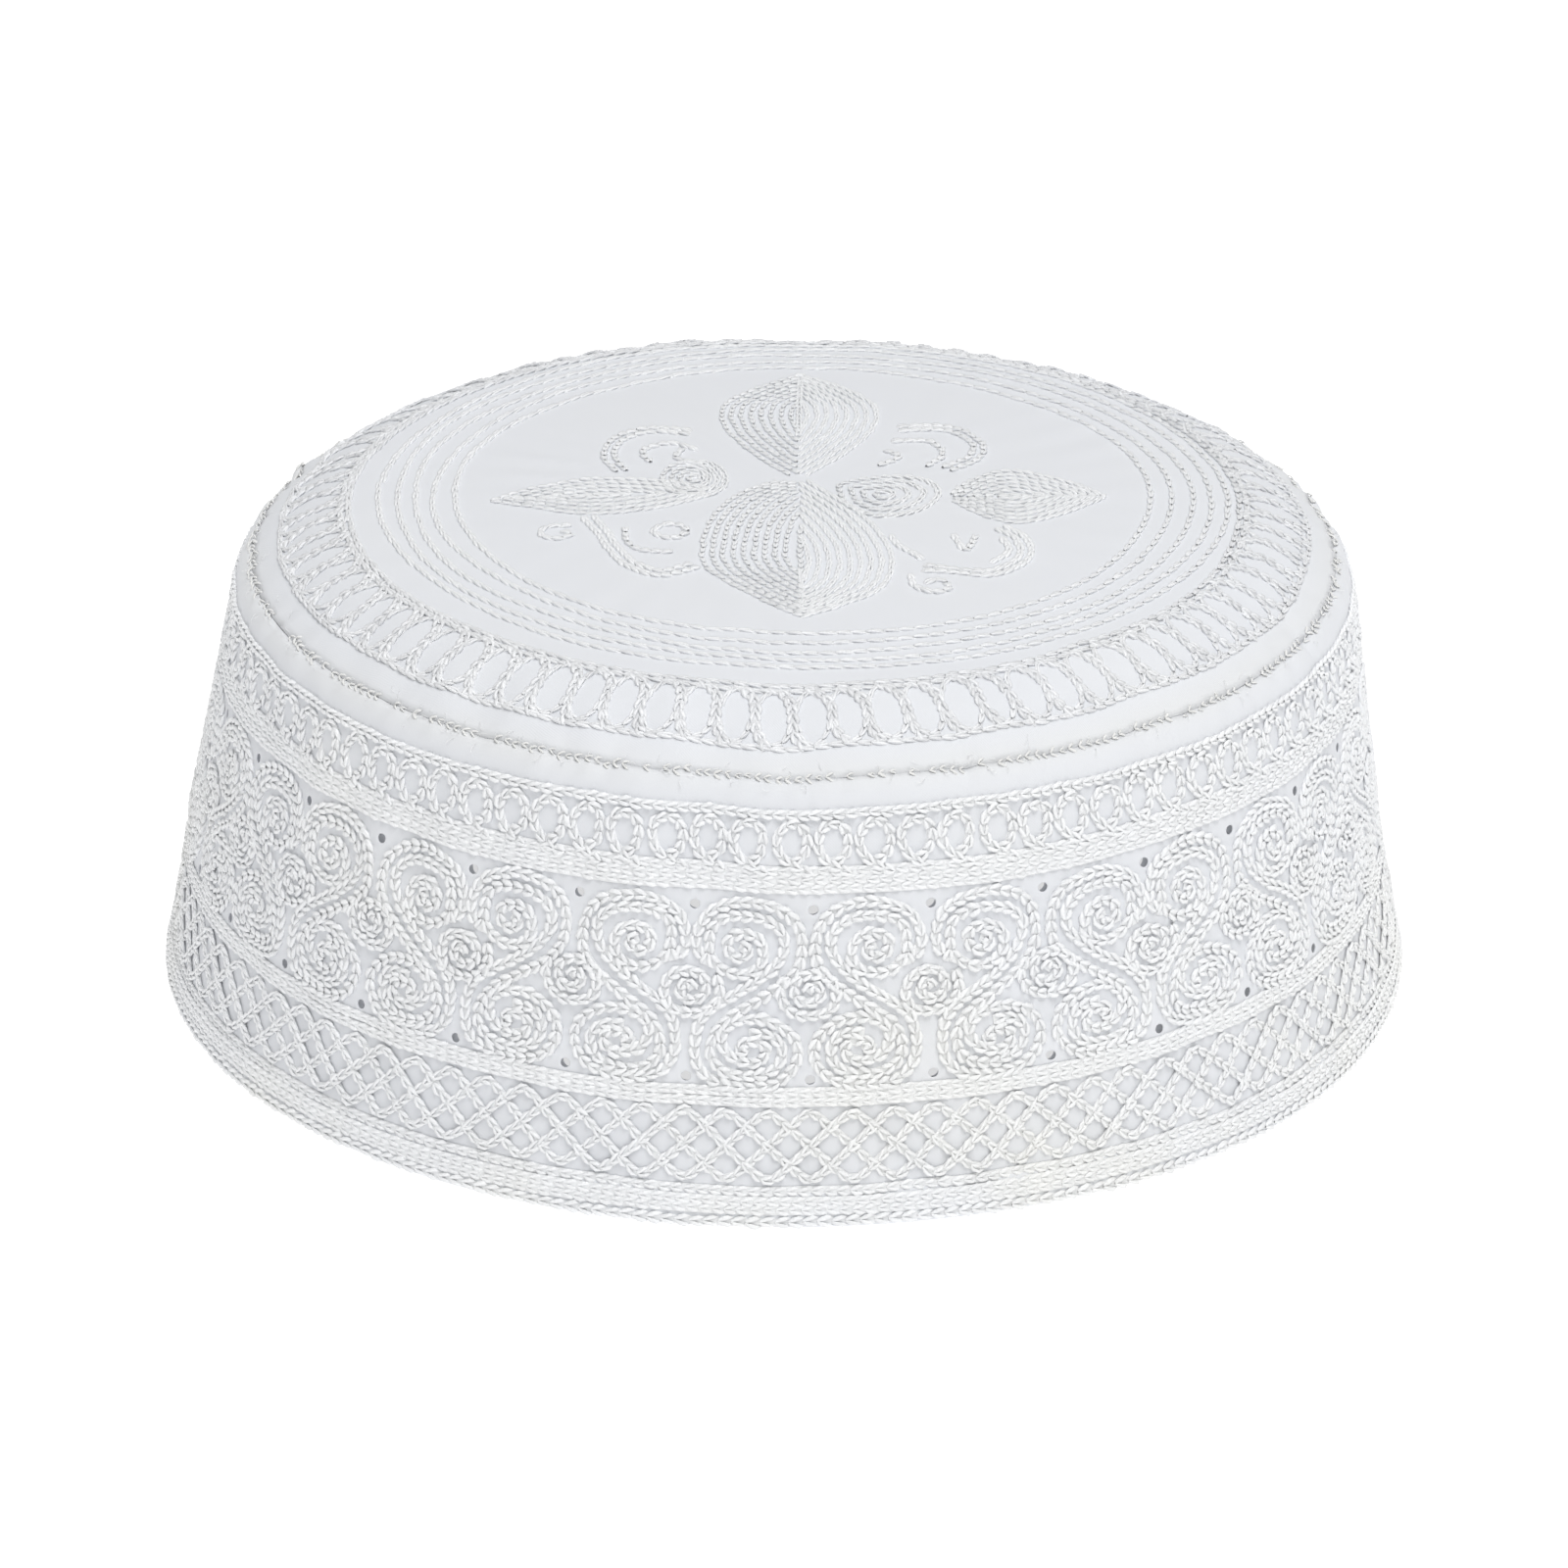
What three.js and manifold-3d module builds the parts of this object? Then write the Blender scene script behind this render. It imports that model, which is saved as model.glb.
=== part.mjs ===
// Kufi cap, built as it is sewn: a shallow domed crown, a tapered side band
// pierced with two rows of eyelets, and a hem turned up round the lower edge.
// Millimetres, +Z up, the front towards -Y, the origin at the middle of the
// flat lower edge.

import * as THREE from "three";
import { mergeVertices } from "three/addons/utils/BufferGeometryUtils.js";
import Module from "manifold-3d";

// Outside form, from the lower edge upwards and inwards
const rimDiameter = 185;
const bandHeight = 59.6;     // lower edge to the shoulder
const bandTaper = 10.6;      // how far the band leans in over that height
const shoulderRise = 4.1;    // shoulder to the crown seam
const shoulderTurn = 2.2;    // how far the shoulder rolls in
const borderWidth = 14.2;    // sloping border of the crown, from the seam inwards
const borderRise = 7.3;
const crownRise = 1.2;       // the flat of the crown swells by this much

// Cloth
const bandWall = 2;
const crownWall = 1.6;
const hemHeight = 5.2;
const hemWall = 2.6;         // the edge is turned up, so it is thicker
const hemProud = 0.3;
const hemBevel = 0.7;
const sewnGap = 0.3;         // left between pieces that are sewn together

// Eyelets, in two rows just inside the panel of scrolls
const panelBottom = 20;
const panelTop = 47.8;
const eyeletDiameter = 1.3;
const eyeletPitch = 16.9;    // round the middle of the panel
const lowerEyeletRise = 1.3;
const upperEyeletDrop = 2.2;
const eyeletTurn = 2.3;      // degrees that the first column lies right of the front
const eyeletSides = 6;

// How the cloth has settled
const crownLean = 0.7;       // the left of the crown stands higher than the right
const crownShift = 1.2;      // the crown sits this far to the right of the lower edge
const creaseDepth = 1.1;
const droopDepth = 1;
const bulgeReach = 1.2;

const turnSegments = 96;
const frontAngle = -90;

// The shoulder's roll and the crown's border, as shares of their turn and rise
const shoulderRoll = [
  { turn: 0, rise: 0 },
  { turn: 0.1, rise: 0.36 },
  { turn: 0.42, rise: 0.74 },
  { turn: 1, rise: 1 },
];
const borderSlope = [
  { width: 0.3, rise: 0.39 },
  { width: 0.62, rise: 0.76 },
  { width: 1, rise: 1 },
];
const crownRings = [
  { inward: 0.22 },
  { inward: 0.6 },
  { inward: 1 },
];
const bandLevels = [
  { height: 0.3 },
  { height: 0.56 },
  { height: 0.8 },
];

// Soft creases: degrees round from +X, half width in degrees, share of the
// crease depth, and the heights between which each runs, as shares of the seam's
const creases = [
  { at: -98, halfWidth: 7, depth: 1, from: 0.02, to: 1.3 },
  { at: -51, halfWidth: 6, depth: 0.55, from: 0.6, to: 1.3 },
  { at: -152, halfWidth: 9, depth: 0.5, from: 0.1, to: 0.95 },
  { at: -24, halfWidth: 8, depth: 0.4, from: 0.15, to: 0.8 },
  { at: 47, halfWidth: 9, depth: 0.6, from: 0.1, to: 1.1 },
  { at: 88, halfWidth: 6, depth: 0.7, from: 0.5, to: 1.3 },
  { at: 136, halfWidth: 8, depth: 0.5, from: 0.1, to: 0.9 },
];
// The plan isn't a true circle: the same columns, with the share of the bulge
const bulges = [
  { at: -42, halfWidth: 40, depth: 1, from: -1, to: 1 },
  { at: 24, halfWidth: 60, depth: 0.9, from: 0.3, to: 1.7 },
];
// Places where the crown's border sags: the same columns, with the share of the droop depth
const droops = [
  { at: -92, halfWidth: 12, depth: 1 },
  { at: -24, halfWidth: 20, depth: 0.8 },
  { at: 90, halfWidth: 14, depth: 0.6 },
];

const rimRadius = rimDiameter / 2;
const shoulderRadius = rimRadius - bandTaper;
const seamRadius = shoulderRadius - shoulderTurn;
const seamHeight = bandHeight + shoulderRise;
const borderRadius = seamRadius - borderWidth;
const borderHeight = seamHeight + borderRise;

const lerp = THREE.MathUtils.lerp;
const degToRad = THREE.MathUtils.degToRad;

function bandRadiusAt(z) {
  return rimRadius - bandTaper * z / bandHeight;
}

// Outside line of the band, from the top of the hem over the shoulder to the seam
function bandLine() {
  const points = [new THREE.Vector2(bandRadiusAt(hemHeight), hemHeight)];
  for (const level of bandLevels) {
    const z = lerp(hemHeight, bandHeight, level.height);
    points.push(new THREE.Vector2(bandRadiusAt(z), z));
  }
  for (const step of shoulderRoll) {
    points.push(new THREE.Vector2(
      shoulderRadius - shoulderTurn * step.turn,
      bandHeight + shoulderRise * step.rise,
    ));
  }
  return points;
}

// Outside line of the crown, from the seam up the border to the middle
function crownLine() {
  const points = [new THREE.Vector2(seamRadius, seamHeight)];
  for (const step of borderSlope) {
    points.push(new THREE.Vector2(
      seamRadius - borderWidth * step.width,
      seamHeight + borderRise * step.rise,
    ));
  }
  for (const ring of crownRings) {
    points.push(new THREE.Vector2(
      borderRadius * (1 - ring.inward),
      borderHeight + crownRise * (1 - (1 - ring.inward) ** 2),
    ));
  }
  return points;
}

function tangentAt(line, index) {
  const before = line[Math.max(index - 1, 0)];
  const after = line[Math.min(index + 1, line.length - 1)];
  return after.clone().sub(before).normalize();
}

// The same line moved into the cloth by the wall
function innerLine(line, tangents, wall) {
  return line.map((point, i) => {
    const inward = new THREE.Vector2(-tangents[i].y, tangents[i].x);
    return point.clone().addScaledVector(inward, wall);
  });
}

// Closed section between an outside line and its inner copy
function closedSection(outer, inner) {
  return [...outer, ...inner.slice().reverse(), outer[0].clone()];
}

function revolve(section) {
  const geometry = new THREE.LatheGeometry(section, turnSegments);
  geometry.rotateX(Math.PI / 2);
  return weld(geometry);
}

// Shared vertices merged, and the empty triangles on the axis dropped
function weld(geometry) {
  geometry.deleteAttribute("normal");
  geometry.deleteAttribute("uv");
  const merged = mergeVertices(geometry, 1e-4);
  const index = merged.getIndex().array;
  const kept = [];
  for (let i = 0; i < index.length; i += 3) {
    const [a, b, c] = index.slice(i, i + 3);
    if (a !== b && b !== c && c !== a) {
      kept.push(a, b, c);
    }
  }
  merged.setIndex(kept);
  return merged;
}

// 1 in the middle of a bump, falling smoothly to 0 at its half width
function bump(offset, halfWidth) {
  const share = Math.min(Math.abs(offset) / halfWidth, 1);
  return (1 + Math.cos(Math.PI * share)) / 2;
}

function angleBetween(a, b) {
  const turn = ((a - b) % 360 + 540) % 360 - 180;
  return turn;
}

// How much of the rows of a table reaches one place on the cap
function tableAt(rows, angle, heightShare) {
  let depth = 0;
  for (const row of rows) {
    const middle = (row.from + row.to) / 2;
    const reach = (row.to - row.from) / 2;
    const across = bump(angleBetween(angle, row.at), row.halfWidth);
    const along = Math.sqrt(bump(heightShare - middle, reach));
    depth += row.depth * across * along;
  }
  return depth;
}

function droopAt(angle) {
  let depth = 0;
  for (const droop of droops) {
    depth += droopDepth * droop.depth * bump(angleBetween(angle, droop.at), droop.halfWidth);
  }
  return depth;
}

// Moves every vertex as the worn cloth has moved; the lower edge stays flat
function settle(geometry) {
  const position = geometry.getAttribute("position");
  const hemShare = hemHeight / seamHeight;
  for (let i = 0; i < position.count; i += 1) {
    const x = position.getX(i);
    const y = position.getY(i);
    const z = position.getZ(i);
    const radius = Math.hypot(x, y);
    const heightShare = z / seamHeight;
    const angle = THREE.MathUtils.radToDeg(Math.atan2(y, x));
    const above = THREE.MathUtils.smoothstep(heightShare, hemShare, 1);
    const edge = THREE.MathUtils.smoothstep(radius, 0, seamRadius);
    const crease = creaseDepth * tableAt(creases, angle, heightShare) * above;
    const bulge = bulgeReach * tableAt(bulges, angle, heightShare);
    const reach = radius > 0 ? (radius + (bulge - crease) * edge) / radius : 1;
    const border = bump(radius - (borderRadius + borderWidth / 2), borderWidth);
    const sag = border * droopAt(angle) * above;
    position.setXYZ(
      i,
      x * reach + crownShift * Math.min(heightShare, 1) * above,
      y * reach,
      z - (crownLean * x / seamRadius) * above - sag,
    );
  }
  return geometry;
}

function toSolid(wasm, geometry) {
  return new wasm.Manifold(new wasm.Mesh({
    numProp: 3,
    vertProperties: new Float32Array(geometry.getAttribute("position").array),
    triVerts: new Uint32Array(geometry.getIndex().array),
  }));
}

function toGeometry(solid) {
  const mesh = solid.getMesh();
  const geometry = new THREE.BufferGeometry();
  geometry.setAttribute("position", new THREE.BufferAttribute(mesh.vertProperties, 3));
  geometry.setIndex(new THREE.BufferAttribute(mesh.triVerts, 1));
  return geometry;
}

// A punch for one eyelet, square to the leaning band
function eyeletPunch(angle, z) {
  const length = bandWall * 3;
  const punch = new THREE.CylinderGeometry(
    eyeletDiameter / 2, eyeletDiameter / 2, length, eyeletSides,
  );
  punch.rotateZ(Math.PI / 2 + Math.atan2(bandTaper, bandHeight));
  punch.translate(bandRadiusAt(z) - bandWall / 2, 0, z);
  punch.rotateZ(angle);
  return weld(punch);
}

function buildBand(wasm) {
  const outer = bandLine();
  const whole = [...outer, crownLine()[1]];
  const tangents = outer.map((_, i) => tangentAt(whole, i));
  const inner = innerLine(outer, tangents, bandWall);
  const back = tangents[tangents.length - 1].clone().multiplyScalar(-sewnGap / 2);
  outer[outer.length - 1].add(back);
  inner[inner.length - 1].add(back);
  inner[0].y = hemHeight;

  let band = toSolid(wasm, revolve(closedSection(outer, inner)));
  const rows = [panelBottom + lowerEyeletRise, panelTop - upperEyeletDrop];
  const panelMiddle = (panelBottom + panelTop) / 2;
  const columns = Math.round(2 * Math.PI * bandRadiusAt(panelMiddle) / eyeletPitch);
  for (const z of rows) {
    for (let i = 0; i < columns; i += 1) {
      const angle = degToRad(frontAngle + eyeletTurn) + 2 * Math.PI * i / columns;
      band = band.subtract(toSolid(wasm, eyeletPunch(angle, z)));
    }
  }
  return settle(toGeometry(band));
}

function buildCrown() {
  const outer = crownLine();
  const shoulderEnd = bandLine().at(-2);
  const whole = [shoulderEnd, ...outer];
  const tangents = outer.map((_, i) => tangentAt(whole, i + 1));
  tangents[tangents.length - 1].set(-1, 0);
  const inner = innerLine(outer, tangents, crownWall);
  const forward = tangents[0].clone().multiplyScalar(sewnGap / 2);
  outer[0].add(forward);
  inner[0].add(forward);
  const section = [...outer.slice().reverse(), ...inner];
  return settle(revolve(section.reverse()));
}

function buildHem() {
  const top = hemHeight - sewnGap;
  const outer = [
    new THREE.Vector2(rimRadius + hemProud - hemBevel, 0),
    new THREE.Vector2(rimRadius + hemProud, hemBevel),
    new THREE.Vector2(bandRadiusAt(top) + hemProud, top - hemBevel / 2),
    new THREE.Vector2(bandRadiusAt(top), top),
  ];
  const inner = [
    new THREE.Vector2(rimRadius - hemWall + hemBevel, 0),
    new THREE.Vector2(rimRadius - hemWall, hemBevel),
    new THREE.Vector2(bandRadiusAt(top) - hemWall, top),
  ];
  return settle(revolve(closedSection(outer, inner)));
}

function piece(name, geometry, material) {
  geometry.computeVertexNormals();
  const mesh = new THREE.Mesh(geometry, new THREE.MeshStandardMaterial(material));
  mesh.name = name;
  return mesh;
}

const wasm = await Module();
wasm.setup();

const cap = new THREE.Group();
cap.add(piece("crown", buildCrown(), { color: 0xe9ebf0, roughness: 0.75, metalness: 0 }));
cap.add(piece("side_band", buildBand(wasm), { color: 0xe6e8ed, roughness: 0.7, metalness: 0 }));
cap.add(piece("hem", buildHem(), { color: 0xe4e4e4, roughness: 0.65, metalness: 0 }));

export default cap;
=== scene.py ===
# Kufi cap in stiffened white cotton, with chain stitch embroidery laid thread by thread.
# Patterns are written in millimetres and in degrees round from +X; the front is at -90.

import math

import bpy
import numpy as np
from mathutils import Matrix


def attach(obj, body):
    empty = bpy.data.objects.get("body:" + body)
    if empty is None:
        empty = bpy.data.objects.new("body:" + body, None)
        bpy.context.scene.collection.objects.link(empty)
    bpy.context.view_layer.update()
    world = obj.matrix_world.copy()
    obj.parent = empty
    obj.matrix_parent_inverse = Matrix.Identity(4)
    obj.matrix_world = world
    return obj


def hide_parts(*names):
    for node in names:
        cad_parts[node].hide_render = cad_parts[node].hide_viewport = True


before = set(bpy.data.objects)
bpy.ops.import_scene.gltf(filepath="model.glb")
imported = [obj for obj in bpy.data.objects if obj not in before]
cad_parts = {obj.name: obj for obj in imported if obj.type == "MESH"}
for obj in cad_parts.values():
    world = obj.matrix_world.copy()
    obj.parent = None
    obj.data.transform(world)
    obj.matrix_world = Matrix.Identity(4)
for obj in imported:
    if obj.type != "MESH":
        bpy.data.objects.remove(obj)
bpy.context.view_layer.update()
toMetres = 0.001
dice = np.random.default_rng(417)


# The form of the cap, the same as the solids that it covers
form = {
    "rimRadius": 92.5,
    "bandHeight": 59.6,
    "bandTaper": 10.6,
    "seamRadius": 79.7,
    "seamHeight": 63.7,
    "borderRadius": 65.5,
    "borderWidth": 14.2,
    "borderHeight": 71.0,
    "crownRise": 1.2,
    "hemHeight": 5.2,
    "bandWall": 2.0,
    "crownWall": 1.6,
    "seamGroove": 0.24,
    "grooveWidth": 1.1,
    "crownLean": 0.7,
    "crownShift": 1.2,
    "creaseDepth": 1.1,
    "droopDepth": 1.0,
    "bulgeReach": 1.2,
    "rippleDepth": 0.2,
    "rippleOnFlat": 0.3,
    "flatFade": (66, 76),
    "middleFade": (4, 40),
    "hemFade": (1.5, 8),
    "puckerDepth": 0.19,
    "puckerReach": 5.5,
    "crumpleDepth": 0.11,
    "crumpleReach": 8.0,
    "crumpleMost": -145,
    "seamGap": 0.06,
}

# Degrees, half width, depth, from and to as shares of the seam's height
creases = [
    (-98, 7, 1, 0.02, 1.3),
    (-51, 6, 0.55, 0.6, 1.3),
    (-152, 9, 0.5, 0.1, 0.95),
    (-24, 8, 0.4, 0.15, 0.8),
    (47, 9, 0.6, 0.1, 1.1),
    (88, 6, 0.7, 0.5, 1.3),
    (136, 8, 0.5, 0.1, 0.9),
]
bulges = [(-42, 40, 1, -1, 1), (24, 60, 0.9, 0.3, 1.7)]
droops = [(-92, 12, 1), (-24, 20, 0.8), (90, 14, 0.6)]


def smoothstep(value, low, high):
    share = np.clip((value - low) / (high - low), 0, 1)
    return share * share * (3 - 2 * share)


def bump(offset, halfWidth):
    return (1 + np.cos(np.pi * np.minimum(np.abs(offset) / halfWidth, 1))) / 2


def angleBetween(a, b):
    return (a - b + 540) % 360 - 180


def unit(vectors):
    return vectors / np.linalg.norm(vectors, axis=-1)[..., None]


def readAlong(along, at, values):
    return np.stack([np.interp(along, at, values[:, k]) for k in range(3)], -1)


def tableAt(rows, angle, heightShare):
    depth = 0
    for at, halfWidth, share, low, high in rows:
        across = bump(angleBetween(angle, at), halfWidth)
        along = np.sqrt(bump(heightShare - (low + high) / 2, (high - low) / 2))
        depth = depth + share * across * along
    return depth


def settle(point):
    x, y, z = point[..., 0], point[..., 1], point[..., 2]
    radius = np.maximum(np.hypot(x, y), 1e-6)
    heightShare = z / form["seamHeight"]
    angle = np.degrees(np.arctan2(y, x))
    above = smoothstep(heightShare, form["hemHeight"] / form["seamHeight"], 1)
    edge = smoothstep(radius, 0, form["seamRadius"])
    crease = form["creaseDepth"] * tableAt(creases, angle, heightShare) * above
    bulge = form["bulgeReach"] * tableAt(bulges, angle, heightShare)
    reach = 1 + (bulge - crease) * edge / radius
    droop = 0
    for at, halfWidth, share in droops:
        droop = droop + share * bump(angleBetween(angle, at), halfWidth)
    borderMiddle = form["borderRadius"] + form["borderWidth"] / 2
    sag = form["droopDepth"] * droop * bump(radius - borderMiddle, form["borderWidth"]) * above
    shift = form["crownShift"] * np.minimum(heightShare, 1) * above
    lean = form["crownLean"] * x / form["seamRadius"] * above
    return np.stack([x * reach + shift, y * reach, z - lean - sag], -1)


# The outside line from the lower edge to the middle of the crown, by its length
shoulder = [(81.68, 61.08), (80.98, 62.63), (79.7, 63.7)]
border = [(75.44, 66.55), (70.9, 69.25), (65.5, 71.0)]


def outsideLine(step=0.25, softening=2.4):
    corners = [(form["rimRadius"], 0), (form["rimRadius"] - form["bandTaper"], form["bandHeight"])]
    corners += shoulder + border
    for inward in np.linspace(0, 1, 9)[1:]:
        rise = form["crownRise"] * (1 - (1 - inward) ** 2)
        corners.append((form["borderRadius"] * (1 - inward), form["borderHeight"] + rise))
    corners = np.array(corners)
    length = np.concatenate([[0], np.cumsum(np.hypot(*np.diff(corners, axis=0).T))])
    at = np.arange(0, length[-1] + step, step).clip(max=length[-1])
    line = np.stack([np.interp(at, length, corners[:, k]) for k in (0, 1)], -1)
    width = int(softening / step) | 1
    for _ in range(2):
        head = 2 * line[0] - line[1:width][::-1]
        tail = line[-width:-1][::-1] * [-1, 1]
        padded = np.concatenate([head, line, tail])
        kernel = np.ones(width) / width
        soft = np.stack([np.convolve(padded[:, k], kernel, "same") for k in (0, 1)], -1)
        line = soft[width - 1:width - 1 + len(line)]
    line[-1, 0] = 0
    return at, line


lineLength, line = outsideLine()
lineTangent = unit(np.gradient(line, axis=0))
# The seam is where the line passes its height, outside the flat of the crown
onFlat = (line[:, 0] < 78) * 99
seamLength = lineLength[np.argmin(np.abs(line[:, 1] - form["seamHeight"]) + onFlat)]
wallPerHeight = math.hypot(form["bandHeight"], form["bandTaper"]) / form["bandHeight"]

# Long shallow ripples of the stiffened cloth: waves round, waves up, share, start
ripples = [
    (int(dice.integers(9, 46)), dice.uniform(0.02, 0.2), dice.uniform(0.3, 1), dice.uniform(0, 6.3))
    for _ in range(14)
]


def rippleAt(turn, length):
    height = 0
    for waves, up, share, start in ripples:
        wave = np.sin(np.radians(turn) * waves + length * up + start)
        height = height + share * wave * np.sin(length * up * 1.7 + start * 2)
    return height * form["rippleDepth"] / 2


# Short puckers that run away from the seam: waves round, slant, start
puckers = [
    (int(dice.integers(50, 150)), dice.uniform(-0.5, 0.5), dice.uniform(0, 6.3))
    for _ in range(7)
]


def puckerAt(turn, length):
    fromSeam = length - seamLength
    height = 0
    for waves, slant, start in puckers:
        height = height + np.sin(np.radians(turn) * waves + fromSeam * slant + start)
    near = bump(fromSeam, form["puckerReach"])
    return height * near * form["puckerDepth"] / 2


# Fine crumples of the plain strips on both sides of the seam, strongest at the front left
crumples = [
    (int(dice.integers(25, 120)), dice.uniform(0.5, 1.7) * (-1) ** k, dice.uniform(0, 6.3))
    for k in range(12)
]


def crumpleAt(turn, length):
    fromSeam = length - seamLength
    height = 0
    for waves, slant, start in crumples:
        height = height + np.sin(np.radians(turn) * waves + fromSeam * slant + start)
    near = bump(fromSeam, form["crumpleReach"])
    share = 0.55 + 0.45 * np.cos(np.radians(turn - form["crumpleMost"]))
    return height * near * share * form["crumpleDepth"] / 3.5


def capPoint(turn, length, lift=0.0):
    radius = np.interp(length, lineLength, line[:, 0])
    height = np.interp(length, lineLength, line[:, 1])
    outX = np.interp(length, lineLength, lineTangent[:, 1])
    outZ = -np.interp(length, lineLength, lineTangent[:, 0])
    angle = np.radians(turn)
    # the seam is pulled in unevenly
    depth = form["seamGroove"] * (0.74 + 0.18 * np.sin(angle * 5 + 0.6) + 0.08 * np.sin(angle * 23))
    groove = depth * bump(length - seamLength, form["grooveWidth"])
    # ripples fade on the flat of the crown, towards its middle and at the hem
    flat = form["rippleOnFlat"]
    middle = flat + (1 - flat) * smoothstep(radius, *form["flatFade"])
    middle = middle * smoothstep(radius, *form["middleFade"])
    bottom = smoothstep(length, *form["hemFade"])
    up = lift - groove + rippleAt(turn, length) * middle * bottom
    up = up + puckerAt(turn, length) + crumpleAt(turn, length)
    radius = radius + outX * up
    height = height + outZ * up
    return settle(np.stack([radius * np.cos(angle), radius * np.sin(angle), height + 0 * angle], -1))


def onBand(spot):
    return capPoint(spot[..., 0], spot[..., 1] * wallPerHeight)


def onSeam(spot):
    return capPoint(spot[..., 0], spot[..., 1])


def onCrown(spot):
    x = spot[..., 0] - form["crownShift"]
    y = spot[..., 1]
    length = np.interp(-np.hypot(x, y), -line[:, 0], lineLength)
    return capPoint(np.degrees(np.arctan2(y, x)), length)


def withNormals(surface, path, reach):
    east = np.array([reach[0], 0])
    north = np.array([0, reach[1]])
    across = surface(path + east) - surface(path - east)
    along = surface(path + north) - surface(path - north)
    return surface(path), unit(np.cross(across, along))


def makeMesh(name, points, faces, values=None, smooth=True):
    mesh = bpy.data.meshes.new(name)
    points = np.asarray(points, np.float32).reshape(-1, 3) * toMetres
    faces = np.asarray(faces, np.int32)
    mesh.vertices.add(len(points))
    mesh.vertices.foreach_set("co", points.ravel())
    mesh.loops.add(faces.size)
    mesh.loops.foreach_set("vertex_index", faces.ravel())
    mesh.polygons.add(len(faces))
    mesh.polygons.foreach_set("loop_start", np.arange(0, faces.size, faces.shape[1], dtype=np.int32))
    mesh.update(calc_edges=True)
    if smooth:
        mesh.shade_smooth()
    for key, data in (values or {}).items():
        data = np.asarray(data, np.float32)
        kind = "FLOAT" if data.ndim == 1 else "FLOAT_VECTOR"
        layer = mesh.attributes.new(key, kind, "POINT")
        layer.data.foreach_set("value" if data.ndim == 1 else "vector", data.ravel())
    made = bpy.data.objects.new(name, mesh)
    bpy.context.scene.collection.objects.link(made)
    return made


def gridFaces(row, column, columns):
    right = (column + 1) % columns
    low = row * columns
    high = low + columns
    return np.stack([low + column, low + right, high + right, high + column], -1)


def place(made, material, nodes=()):
    made.data.materials.append(material)
    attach(made, "root")
    if nodes:
        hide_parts(*nodes)
    print(made.name, len(made.data.polygons), "faces")
    return made


def newGroup(name, inputs, outputs):
    group = bpy.data.node_groups.new(name, "ShaderNodeTree")
    for label, kind, value in inputs:
        socket = group.interface.new_socket(label, in_out="INPUT", socket_type=kind)
        if value is not None:
            socket.default_value = value
    for label, kind in outputs:
        group.interface.new_socket(label, in_out="OUTPUT", socket_type=kind)
    return group, group.nodes.new("NodeGroupInput"), group.nodes.new("NodeGroupOutput")


def setInputs(node, values):
    for key, value in values.items():
        node.inputs[key].default_value = value


def addRange(tree, value, fromLow, fromHigh, toLow=0.0, toHigh=1.0):
    node = tree.nodes.new("ShaderNodeMapRange")
    setInputs(node, {"From Min": fromLow, "From Max": fromHigh, "To Min": toLow, "To Max": toHigh})
    tree.links.new(value, node.inputs["Value"])
    return node.outputs[0]


def addMix(tree, blend, factor, first, second):
    node = tree.nodes.new("ShaderNodeMix")
    node.data_type = "RGBA"
    node.blend_type = blend
    if isinstance(factor, (int, float)):
        node.inputs["Factor"].default_value = factor
    else:
        tree.links.new(factor, node.inputs["Factor"])
    tree.links.new(first, node.inputs[6])
    tree.links.new(second, node.inputs[7])
    return node.outputs[2]


def addMath(tree, operation, first, second=None, third=None):
    node = tree.nodes.new("ShaderNodeMath")
    node.operation = operation
    for i, value in enumerate((first, second, third)):
        if value is None:
            continue
        if isinstance(value, (int, float)):
            node.inputs[i].default_value = value
        else:
            tree.links.new(value, node.inputs[i])
    return node.outputs[0]


def weaveGroup():
    group, given, out = newGroup(
        "clothWeave",
        [
            ("Lie", "NodeSocketVector", None),
            ("Threads", "NodeSocketFloat", 2.6),
            ("Slub", "NodeSocketFloat", 0.5),
        ],
        [("Height", "NodeSocketFloat")],
    )
    links = group.links
    split = group.nodes.new("ShaderNodeSeparateXYZ")
    links.new(given.outputs["Lie"], split.inputs[0])
    turns = addMath(group, "MULTIPLY", given.outputs["Threads"], 2 * math.pi)
    warp = addMath(group, "SINE", addMath(group, "MULTIPLY", split.outputs[0], turns))
    weft = addMath(group, "SINE", addMath(group, "MULTIPLY", split.outputs[1], turns))
    over = addMath(group, "MULTIPLY", warp, weft)
    noise = group.nodes.new("ShaderNodeTexNoise")
    setInputs(noise, {"Scale": 0.9, "Detail": 4})
    links.new(given.outputs["Lie"], noise.inputs["Vector"])
    slub = addMath(group, "MULTIPLY", noise.outputs["Fac"], given.outputs["Slub"])
    height = addMath(group, "MULTIPLY_ADD", over, 0.25, slub)
    links.new(height, out.inputs["Height"])
    return group


def plyGroup():
    group, given, out = newGroup(
        "threadPly",
        [("Ply", "NodeSocketVector", None), ("Turns", "NodeSocketFloat", 2.0)],
        [("Height", "NodeSocketFloat")],
    )
    links = group.links
    split = group.nodes.new("ShaderNodeSeparateXYZ")
    links.new(given.outputs["Ply"], split.inputs[0])
    turns = addMath(group, "MULTIPLY", split.outputs[0], given.outputs["Turns"])
    wound = addMath(group, "MULTIPLY", turns, 2 * math.pi)
    cosine = addMath(group, "MULTIPLY", addMath(group, "COSINE", wound), split.outputs[1])
    height = addMath(group, "MULTIPLY_ADD", addMath(group, "SINE", wound), split.outputs[2], cosine)
    links.new(height, out.inputs["Height"])
    return group


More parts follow.
